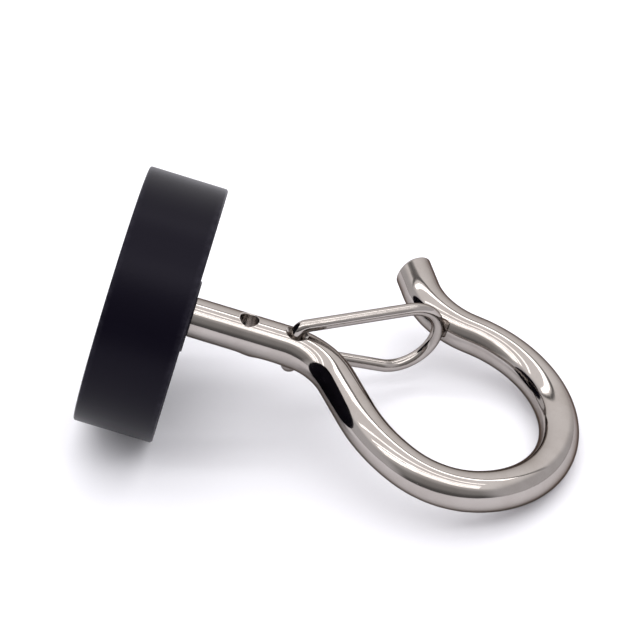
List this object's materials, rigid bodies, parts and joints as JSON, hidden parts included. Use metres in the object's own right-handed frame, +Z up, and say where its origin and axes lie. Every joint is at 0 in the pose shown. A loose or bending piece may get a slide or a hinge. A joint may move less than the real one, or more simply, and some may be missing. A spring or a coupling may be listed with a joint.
{
  "type": "magnet fishing magnet",
  "caption": "Round steel pot magnet with a bent round-bar snap hook bolted to its back and a sprung wire gate across the hook's mouth, lying as it rests on a table.",
  "frame": {"origin": "centre of the magnet's working face", "axes": "+Z up as the part lies on a table, +X from the pot towards the closed end of the hook, +Y towards the nose of the hook. The shank's axis lies in the XZ plane and slopes 15.9 degrees down towards +X, because the part rests on the back edge of the pot and on the end of the hook."},
  "size_m": [0.125, 0.0837, 0.0677],
  "materials": {
    "pot_coating": "satin blue-black coating",
    "magnet_plating": "satin nickel plating",
    "resin": "cast black resin",
    "bush_plastic": "moulded black plastic",
    "zinc_steel": "zinc-plated",
    "nylon": "translucent nylon",
    "polished_steel": "polished stainless steel"
  },
  "bodies": {
    "magnet_and_hook": {"pot": "pot_coating", "ring_magnet": "magnet_plating", "resin_ring": "resin", "centre_bush": "bush_plastic", "washer": "zinc_steel", "nut": "zinc_steel", "nut_insert": "nylon", "hook": "polished_steel"},
    "gate": {"wire_gate": "polished_steel"}
  },
  "joints": [
    {"name": "gate_hinge", "type": "hinge", "parent": "magnet_and_hook", "child": "gate", "pos_m": [0.04444, 0, -0.01263], "axis": [-0.2734, 0, -0.9619], "range_deg": [0, 63], "stiffness_Nm_per_rad": 0.2, "springref_deg": -20.05}
  ]
}
